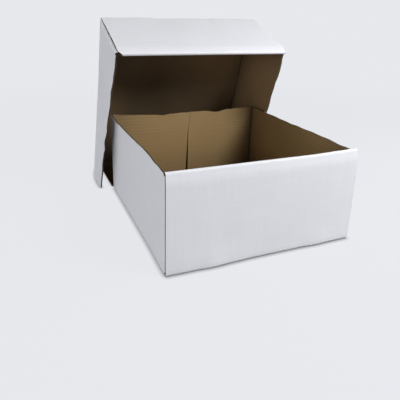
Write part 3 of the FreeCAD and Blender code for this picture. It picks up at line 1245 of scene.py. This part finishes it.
@dataclass
class Lid(RolledBox):
    """The lid: it stands on the far fold and leans over the tray; its left side wall has sprung out."""

    lean: float = 21.1  # degrees from upright
    axis: tuple[float, float] = (319.9, 1.4)  # y and z of the fold
    clear: float = 0.5  # under the slanted ends of the side walls
    # how far the left wall's raw edge stands out, against the distance from the fold
    splay: Profile = (
        (0.0, 19.2), (60.0, 20.0), (105.0, 18.2), (160.0, 15.6), (200.0, 12.4), (240.0, 9.3), (270.0, 7.8),
        (300.0, 4.8), (322.0, 3.0), (347.9, 2.4),
    )
    belly: float = 3.14  # how steeply the wall leaves its crease, against a straight one
    splay_root: float = 40.0  # how far beside the crease the top panel goes with it
    # how much further the raw edge itself strays
    fray: Profile = (
        (104.0, 0.0), (112.0, 0.5), (140.0, 0.2), (150.0, -0.9), (160.0, -0.4), (169.0, 0.8), (178.0, 0.2),
        (188.0, -0.5), (205.0, 0.1), (221.0, 0.5), (238.0, -0.2), (246.0, -1.0), (262.0, -0.2), (272.0, 0.3),
        (286.0, -0.2), (300.0, 0.0),
    )
    rim_ends: tuple[Profile, Profile] = (((-2.0, 0.0), (7.0, 7.1), (14.0, 7.1), (24.0, 0.0)), PLAIN_END)
    # how far the folded top edge stands above its even height, against x
    crown: Profile = (
        (-160.0, -2.6), (-150.0, -2.2), (-72.0, -0.9), (-63.0, -1.1), (-54.0, -2.2), (20.0, -0.9),
        (36.0, -0.5), (44.0, -1.6), (51.0, -1.6), (59.0, -0.2), (160.0, -0.4),
    )
    crown_reach: float = 70.0
    # how far the left and the right side creases stand in, against the distance from the fold
    waists: tuple[Profile, Profile] = (
        ((0.0, 1.4), (15.0, 3.2), (110.0, 2.6), (160.0, 1.2), (190.0, 0.0)),
        ((0.0, 0.5), (100.0, 0.9), (180.0, 1.1), (220.0, 2.4), (265.0, 4.4), (330.0, 1.0), (347.9, 0.0)),
    )
    waist_reach: float = 70.0
    side_edges: tuple[Profile, Profile] = (
        LEVEL,
        (
            (0.0, 0.0), (60.0, -1.0), (110.0, 0.4), (150.0, -1.2), (185.0, 0.2), (205.0, -0.6), (222.0, 0.0),
            (233.0, -0.4), (246.0, -2.7), (262.0, -2.1), (279.0, -2.5), (289.0, -0.8), (303.0, -0.6),
            (312.0, -1.3), (319.0, -2.7), (327.0, -5.0), (347.9, -5.0),
        ),
    )

    def shape_edges(self, sheet: Sheet) -> None:
        """Cut the rim's bevels, the uneven raw edges, and the side walls' ends at the lean.

        Args:
            sheet: the flat sheet.
        """
        super().shape_edges(sheet)
        slope = math.tan(math.radians(self.lean))
        half = BOARD.thickness / 2
        start = (self.clear - half) / math.cos(math.radians(self.lean)) + (BOARD.crease_radius - half) * slope
        for side in (-1, 1):
            place = Vector((side * self.wall, start, 0))
            beyond = Vector((side * slope, -1, 0))
            sheet.cut(place, beyond, lambda spot, s=side: spot.x * s > self.turn)

    def spring(self, spot: Vector, at: Vector) -> Vector | None:
        """Find how far a place of the left side wall has sprung outwards.

        Args:
            spot: the place on the blank.
            at: where it has been folded to.

        Returns:
            How far it moves, or None.
        """
        if spot.x > -self.turn or self.in_front(spot):
            return None
        share = max(0.0, at.z) / self.edge
        belly = self.belly * share - (self.belly - 1) * share * share
        fade = 1 - eased((at.x + self.half_width - BOARD.crease_radius) / self.splay_root)
        stray = through(self.splay, at.y) * belly + through(self.fray, at.y) * share ** 3
        return Vector((-stray * fade, 0, 0))

    def pinch(self, _: Vector, at: Vector) -> Vector:
        """Return how far a place near a side crease stands in."""
        share = eased((abs(at.x) - self.half_width) / self.waist_reach + 1) * (1 - max(0.0, at.z) / self.edge)
        return Vector((-math.copysign(through(self.waists[at.x > 0], at.y), at.x) * max(0.0, share), 0, 0))

    def sag(self, _: Vector, at: Vector) -> Vector:
        """Return how far a place near the folded top edge stands from its even height."""
        away = math.hypot(self.front - at.y, at.z) / self.crown_reach
        return Vector((0, through(self.crown, at.x) * (1 - eased(away)), 0))

    def build(self, liners: Liners) -> bpy.types.Object:
        """Make the lid.

        Args:
            liners: the board's finishes.

        Returns:
            The piece.
        """
        sheet = self.cut_blank()
        self.fold(sheet)
        for shift in (self.pinch, self.spring, self.sag):
            sheet.move(shift)
        y, z = self.axis
        place = (
            Matrix.Translation((0, y, z))
            @ Matrix.Rotation(math.radians(90 + self.lean), 4, "X")
            @ Matrix.Translation((0, 0, -BOARD.thickness / 2))
        )
        return sheet.finish(self.name, liners, place, y, ripple=0.25, calm_from=self.tail)


@dataclass
class BackPanel:
    """The panel that lies flat behind the tray."""

    name: str
    half_width: float
    near: float
    far: float
    corner: float = 3.0

    def build(self, liners: Liners) -> bpy.types.Object:
        """Make the panel, with its two near corners cut.

        Args:
            liners: the board's finishes.

        Returns:
            The piece.
        """
        sheet = Sheet((-self.half_width, self.near), (self.half_width, self.far))
        for side in (-1, 1):
            place = Vector((side * (self.half_width - self.corner), self.near, 0))
            sheet.cut(place, Vector((side, -1, 0)), lambda spot: True)
        sheet.settle()
        return sheet.finish(self.name, liners, Matrix.Identity(4), 0.0, ripple=0.15)


def heading_at(turn: float) -> Vector:
    """Return the direction along a panel that has been turned up by an angle."""
    return Vector((0, math.cos(turn), math.sin(turn)))


def inward_at(turn: float) -> Vector:
    """Return the direction out of that panel, on the box's inside."""
    return Vector((0, -math.sin(turn), math.cos(turn)))


@dataclass
class FoldStrip:
    """The crease between two panels that turn on each other."""

    name: str
    parts: tuple[Part, Part]
    axis: tuple[float, float]  # y and z
    half_width: float
    reach: float  # on both sides of the axis
    angle: float  # how far the second panel is turned up from flat, in degrees
    steps: int = 8
    pinch: float = 0.86  # what is left of the thickness inside the crease
    sharp: float = 50.0  # degrees between faces from which an edge stays sharp

    def section(self, mesh: bmesh.types.BMesh) -> bmesh.types.BMFace:
        """Draw the strip's cross-section at its left end: round outside, pinched inside.

        Args:
            mesh: where it is drawn.

        Returns:
            The face.
        """
        half = BOARD.thickness / 2
        turn = math.radians(self.angle)
        centre = Vector((-self.half_width, *self.axis))
        far = centre + heading_at(turn) * self.reach
        spots = [centre + Vector((0, -self.reach, -half))]
        spots += [centre - half * inward_at(turn * step / self.steps) for step in range(self.steps + 1)]
        spots += [far - inward_at(turn) * half, far + inward_at(turn) * half]
        spots.append(centre + half * self.pinch / math.cos(turn / 2) * inward_at(turn / 2))
        spots.append(centre + Vector((0, -self.reach, half)))
        return mesh.faces.new([mesh.verts.new(spot) for spot in spots])

    def build(self, liners: Liners) -> bpy.types.Object:
        """Make the strip, bent round its axis by its angle.

        Args:
            liners: the board's finishes.

        Returns:
            The piece.
        """
        mesh = bmesh.new()
        section = self.section(mesh)
        outer = self.steps + 3  # vertices of the outer face come first
        depth = mesh.verts.layers.float.new(DEPTH)
        creased = mesh.verts.layers.float.new(CREASED)
        for index, vert in enumerate(section.verts):
            vert[depth] = float(index >= outer)
            vert[creased] = 1.0
        swept = bmesh.ops.extrude_face_region(mesh, geom=[section], use_keep_orig=True)
        verts = [v for v in swept["geom"] if isinstance(v, bmesh.types.BMVert)]
        bmesh.ops.translate(mesh, vec=(2 * self.half_width, 0, 0), verts=verts)
        bmesh.ops.recalc_face_normals(mesh, faces=mesh.faces[:])
        chart = mesh.loops.layers.uv.new(BLANK_MAP)
        for face in mesh.faces:
            ends = {round(v[depth]) for v in face.verts}
            face.material_index = Ply.CUT if len(ends) == 2 else (Ply.BROWN if 1 in ends else Ply.WHITE)
            face.smooth = True
            for loop in face.loops:
                loop[chart].uv = (loop.vert.co.x * MM, (loop.vert.co.y + loop.vert.co.z) * MM)
        bmesh.ops.scale(mesh, vec=(MM, MM, MM), verts=mesh.verts[:])
        piece = add_object(self.name, mesh_of(self.name, mesh))
        piece.data.set_sharp_from_angle(angle=math.radians(self.sharp))
        liners.dress(piece)
        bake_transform(piece)
        return piece


# ---- Studio ----


def hang(light: bpy.types.Light, toward: Vector, place: Sequence[float] = (0.0, 0.0, 0.0)) -> None:
    """Put a light in the scene.

    Args:
        light: the light.
        toward: the direction in which it shines.
        place: where it hangs.
    """
    lamp = add_object(light.name, light)
    lamp.location = place
    lamp.rotation_euler = toward.to_track_quat("-Z", "Y").to_euler()


@dataclass(frozen=True)
class FarLight:
    """A large light a long way off, which lights the whole stage evenly."""

    name: str
    toward: Triple  # from the box to the light
    width: float  # how wide it looks, in degrees
    strength: float

    def build(self) -> None:
        """Make the light."""
        light = bpy.data.lights.new(self.name, "SUN")
        light.energy = self.strength
        light.angle = math.radians(self.width)
        hang(light, -Vector(self.toward))


@dataclass(frozen=True)
class Softbox:
    """A rectangular light that faces a target."""

    name: str
    place: Triple
    size: tuple[float, float]
    power: float
    target: Triple = (0.0, 0.0, 0.1)

    def build(self) -> None:
        """Make the light."""
        light = bpy.data.lights.new(self.name, "AREA")
        light.shape = "RECTANGLE"
        light.size, light.size_y = self.size
        light.energy = self.power
        hang(light, Vector(self.target) - Vector(self.place), self.place)


@dataclass
class Studio:
    """The floor, the surroundings, the lights and the camera."""

    surroundings: Colour = (0.795, 0.81, 0.845)
    fill: float = 0.01
    floor_radius: float = 2.6
    floor_sides: int = 96
    lights: tuple[FarLight | Softbox, ...] = (
        FarLight("right_light", (0.500, 0.0, 0.866), 40.0, 0.05),
        FarLight("back_light", (0.0, 0.966, 0.259), 20.0, 0.6),
        Softbox("key_softbox", (0.554, -0.791, 0.970), (0.6, 0.6), 15.3),
        Softbox("right_softbox", (0.817, -0.219, 0.408), (0.5, 0.5), 4.9),
        Softbox("left_softbox", (-1.023, -0.591, 0.308), (0.6, 0.6), 3.1),
        Softbox("far_left_softbox", (-1.354, -0.118, 0.734), (0.8, 0.8), 1.6),
        Softbox("back_left_softbox", (-0.663, 0.383, 0.743), (0.6, 0.6), 2.8),
    )
    film: float = 36.0
    lens: float = 38.43
    clip: tuple[float, float] = (0.01, 50.0)
    shift: tuple[float, float] = (0.0084, -0.07005)
    camera_place: Triple = (-0.31509, -0.63184, 0.34145)
    camera_turn: Triple = (-23.24, 69.17, 1.72)  # heading, tilt and roll

    def make_floor(self) -> None:
        """Make the floor."""
        mesh = bmesh.new()
        bmesh.ops.create_circle(mesh, cap_ends=True, segments=self.floor_sides, radius=self.floor_radius)
        for face in mesh.faces:
            if face.normal.z < 0:
                face.normal_flip()
        floor = add_object("studio_floor", mesh_of("studio_floor", mesh))
        floor.data.materials.append(StudioPaper().material())

    def make_world(self) -> None:
        """Give the surroundings one pale colour, with softer light from them than they show."""
        world = bpy.data.worlds.new("surroundings")
        world.use_nodes = True
        tree = world.node_tree
        back = next(n for n in tree.nodes if n.type == "BACKGROUND")
        back.inputs["Color"].default_value = rgba(self.surroundings)
        path = tree.nodes.new("ShaderNodeLightPath")
        strength = tree.nodes.new("ShaderNodeMapRange")
        tree.links.new(path.outputs["Is Camera Ray"], strength.inputs["Value"])
        strength.inputs["To Min"].default_value = self.fill
        strength.inputs["To Max"].default_value = 1.0
        tree.links.new(strength.outputs[0], back.inputs["Strength"])
        bpy.context.scene.world = world

    def make_camera(self) -> None:
        """Make the camera and look through it."""
        data = bpy.data.cameras.new("camera")
        data.sensor_width = self.film
        data.lens = self.lens
        data.shift_x, data.shift_y = self.shift
        data.clip_start, data.clip_end = self.clip
        stand = Matrix.Translation(self.camera_place)
        for angle, axis in zip(self.camera_turn, "ZXZ"):
            stand @= Matrix.Rotation(math.radians(angle), 4, axis)
        camera = add_object("camera", data)
        camera.matrix_world = stand
        bpy.context.scene.camera = camera

    def build(self) -> None:
        """Set the stage."""
        self.make_floor()
        self.make_world()
        for light in self.lights:
            light.build()
        self.make_camera()
        bpy.context.scene.view_settings.view_transform = "Standard"


def report(piece: bpy.types.Object) -> None:
    """Log what a piece came to.

    Args:
        piece: the piece.
    """
    low, high = (
        [pick(corner[axis] for corner in piece.bound_box) / MM for axis in range(3)] for pick in (min, max)
    )
    log.info(
        "%s: %d faces, from %s to %s mm", piece.name, len(piece.data.polygons),
        [round(value, 1) for value in low], [round(value, 1) for value in high],
    )


def main() -> None:
    """Build the box around the frame, and the studio around the box."""
    logging.basicConfig(level=logging.INFO, format="%(name)s: %(message)s")
    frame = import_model()
    folds = {joint["name"]: [value / MM for value in joint["pos_m"]] for joint in frame["joints"]}
    near_y, near_z = folds["back_fold"][1:]
    far_y, far_z = folds["lid_fold"][1:]
    tray_low, tray_high = (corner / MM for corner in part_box("tray"))
    panel_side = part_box("back_panel")[1].x / MM
    near_reach, far_reach = 2.5, 4.0  # of the two moving folds' strips, to both sides
    rim_rise, edge_drop = 1.6, 1.5  # of the tray's rim above its solid's top, and of its raw edges below
    lid_side = 159.9  # half the lid's width

    liners = Liners()
    # The lid's kraft: lighter colours, painted shade on its left side and a shorter reach of painted shade in
    # corners.
    lid_brown = BrownLiner(
        "lid_brown_liner", light=(0.37, 0.255, 0.145), dark=(0.31, 0.205, 0.108), painted_shade_reach=0.05,
        left_painted_shade=0.54,
    )
    lid_liners = Liners(liners.white, lid_brown.material(), liners.cut)
    tray = Tray(
        "tray_board", half_width=tray_high.x, front=tray_low.y, heading=-1,
        tail=near_y - near_reach, height=tray_high.z + rim_rise, edge=tray_high.z - edge_drop,
    ).build(liners)
    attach(tray, Part.TRAY.value)
    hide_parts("tray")
    back = BackPanel(
        "back_panel_board", half_width=panel_side, near=near_y + near_reach, far=far_y - far_reach
    ).build(liners)
    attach(back, Part.BACK.value)
    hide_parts("back_panel")
    lid = Lid(
        "lid_board", half_width=lid_side, front=347.9, heading=1, tail=far_reach, height=142.3,
        edge=141.3, inset=1.8, axis=(far_y, far_z),
    ).build(lid_liners)
    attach(lid, Part.LID.value)
    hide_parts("lid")
    near = FoldStrip(
        "near_crease", (Part.TRAY, Part.BACK), axis=(near_y, near_z),
        half_width=tray_high.x - BOARD.crease_radius, reach=near_reach, angle=0.0,
    ).build(liners)
    far = FoldStrip(
        "far_crease", (Part.BACK, Part.LID), axis=(far_y, far_z),
        half_width=lid_side - BOARD.crease_radius, reach=far_reach, angle=90 + Lid.lean,
    ).build(lid_liners)
    for piece in (tray, back, lid, near, far):
        report(piece)
    Studio().build()


if __name__ == "__main__":
    main()
